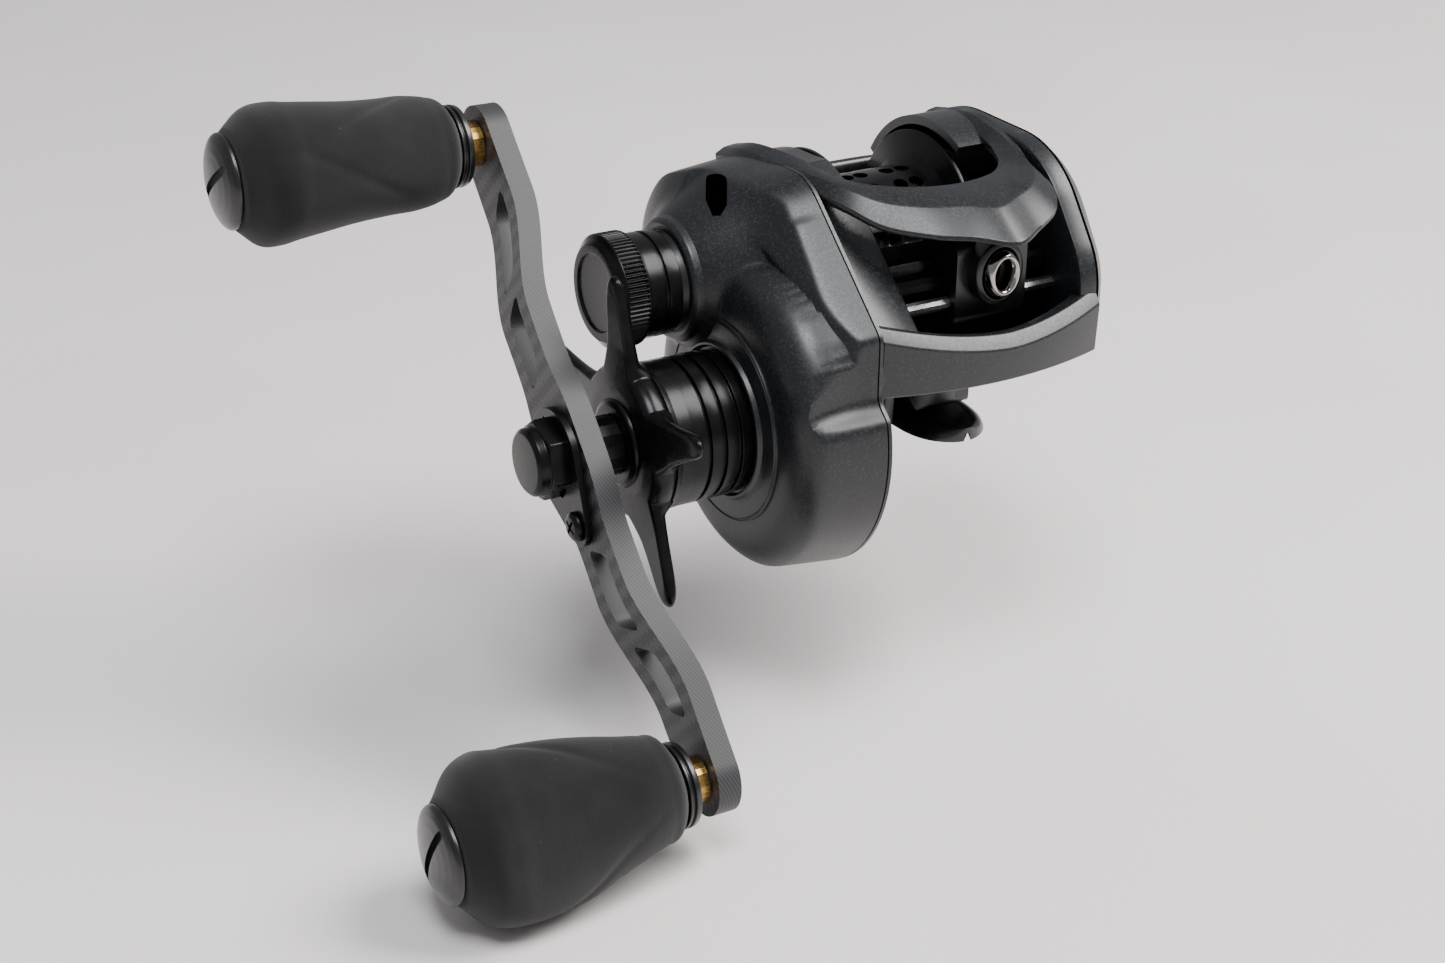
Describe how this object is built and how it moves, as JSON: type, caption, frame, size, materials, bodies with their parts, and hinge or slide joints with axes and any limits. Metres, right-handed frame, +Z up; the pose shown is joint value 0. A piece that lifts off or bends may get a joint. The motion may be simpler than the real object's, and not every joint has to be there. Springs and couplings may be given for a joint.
{
  "type": "baitcasting fishing reel",
  "caption": "Low-profile baitcasting reel with a cranked double handle, foam knobs, star drag, tension cap, ported spool and a worm-driven line guide.",
  "frame": {"origin": "middle of the flat land on the underside of the reel foot", "axes": "+X along the spool and drive axes to the handle side, +Y forward, the way the line leaves, +Z up, away from the rod"},
  "size_m": [0.1258, 0.0874, 0.0907],
  "materials": {
    "body_paint": "satin charcoal paint with fine flake",
    "foot_paint": "semi-gloss black",
    "black_anodised": "black anodised, satin",
    "carbon_fibre": "grey carbon weave in resin",
    "eva_foam": "matte closed-cell foam",
    "black_plastic": "satin black plastic",
    "steel": "bright steel",
    "brass": "machined brass",
    "drag_carbon": "woven carbon friction disc",
    "dark_chrome": "dark polished ring"
  },
  "bodies": {
    "frame": {"frame": "body_paint", "reel_foot": "foot_paint", "foot_screw_front": "steel", "foot_screw_rear": "steel", "top_hood": "body_paint", "handle_side_plate": "body_paint", "palm_side_plate": "body_paint", "cover_screw_front": "steel", "cover_screw_rear": "steel", "anti_reverse_bearing": "steel", "drive_shaft_bearing": "steel", "spool_bearing_handle": "steel", "spool_bearing_palm": "steel", "pinion_bearing": "steel", "worm_bush_handle": "brass", "worm_bush_palm": "brass", "worm_guard": "black_anodised", "guide_rod": "steel", "brake_magnet_ring": "black_anodised"},
    "handle": {"drive_shaft": "steel", "main_gear": "brass", "idler_gear": "black_plastic", "drag_washer": "drag_carbon", "drag_key_washer": "steel", "drag_pressure_plate": "steel", "clutch_sleeve": "steel", "star_spring_washer": "steel", "handle_spacer": "black_anodised", "handle_plate": "carbon_fibre", "handle_nut": "black_anodised", "nut_retainer": "black_anodised", "retainer_screw": "steel", "knob_spindle_upper": "steel", "knob_spindle_lower": "steel", "knob_screw_upper": "steel", "knob_screw_lower": "steel", "knob_bush_upper": "brass", "knob_bush_lower": "brass"},
    "star": {"star_drag": "black_anodised"},
    "upper_knob": {"knob_grip_upper": "eva_foam", "knob_core_upper": "black_plastic", "knob_bearing_upper": "steel", "knob_cap_upper": "black_plastic"},
    "lower_knob": {"knob_grip_lower": "eva_foam", "knob_core_lower": "black_plastic", "knob_bearing_lower": "steel", "knob_cap_lower": "black_plastic"},
    "spool": {"spool": "black_anodised", "spool_shaft": "steel", "brake_rotor": "steel"},
    "thumb_bar": {"thumb_bar": "black_plastic"},
    "clutch": {"clutch_yoke": "black_plastic"},
    "pinion": {"pinion_gear": "brass"},
    "worm": {"worm_shaft": "steel", "worm_gear": "black_plastic"},
    "line_guide": {"line_guide_carriage": "black_plastic", "line_guide_ring": "dark_chrome", "pawl": "steel"},
    "tension_cap": {"tension_cap": "black_anodised"},
    "brake_dial": {"brake_dial": "black_plastic"}
  },
  "joints": [
    {"name": "handle_turn", "type": "hinge", "parent": "frame", "child": "handle", "pos_m": [0, 0.0145, 0.0033], "axis": [1, 0, 0], "continuous": true},
    {"name": "star_turn", "type": "hinge", "parent": "handle", "child": "star", "pos_m": [0, 0.0145, 0.0033], "axis": [1, 0, 0], "range_deg": [-180, 360]},
    {"name": "upper_knob_spin", "type": "hinge", "parent": "handle", "child": "upper_knob", "pos_m": [0, -0.0186, 0.03806], "axis": [1, 0, 0], "continuous": true},
    {"name": "lower_knob_spin", "type": "hinge", "parent": "handle", "child": "lower_knob", "pos_m": [0, 0.0476, -0.03146], "axis": [1, 0, 0], "continuous": true},
    {"name": "spool_spin", "type": "hinge", "parent": "frame", "child": "spool", "pos_m": [0, 0.0023, 0.0208], "axis": [1, 0, 0], "continuous": true},
    {"name": "thumb_press", "type": "slide", "parent": "frame", "child": "thumb_bar", "axis": [0, 0, -1], "range_m": [0, 0.004], "stiffness_N_per_m": 400},
    {"name": "clutch_slide", "type": "slide", "parent": "frame", "child": "clutch", "axis": [1, 0, 0], "range_m": [0, 0.001]},
    {"name": "pinion_spin", "type": "hinge", "parent": "clutch", "child": "pinion", "pos_m": [0, 0.0023, 0.0208], "axis": [1, 0, 0], "continuous": true},
    {"name": "worm_spin", "type": "hinge", "parent": "frame", "child": "worm", "pos_m": [0, 0.022, 0.0219], "axis": [1, 0, 0], "continuous": true},
    {"name": "line_guide_slide", "type": "slide", "parent": "frame", "child": "line_guide", "axis": [1, 0, 0], "range_m": [-0.0054, 0.0084]},
    {"name": "tension_cap_turn", "type": "hinge", "parent": "frame", "child": "tension_cap", "pos_m": [0, 0.0023, 0.0208], "axis": [1, 0, 0], "range_deg": [-360, 360]},
    {"name": "brake_dial_turn", "type": "hinge", "parent": "frame", "child": "brake_dial", "pos_m": [0, -0.0025, 0.016], "axis": [1, 0, 0], "range_deg": [-120, 120]}
  ],
  "couplings": [
    {"joint": "spool_spin", "follows": "handle_turn", "ratio": -7},
    {"joint": "pinion_spin", "follows": "handle_turn", "ratio": -7},
    {"joint": "worm_spin", "follows": "handle_turn", "ratio": -3.4444},
    {"joint": "clutch_slide", "follows": "thumb_press", "ratio": 0.25}
  ]
}
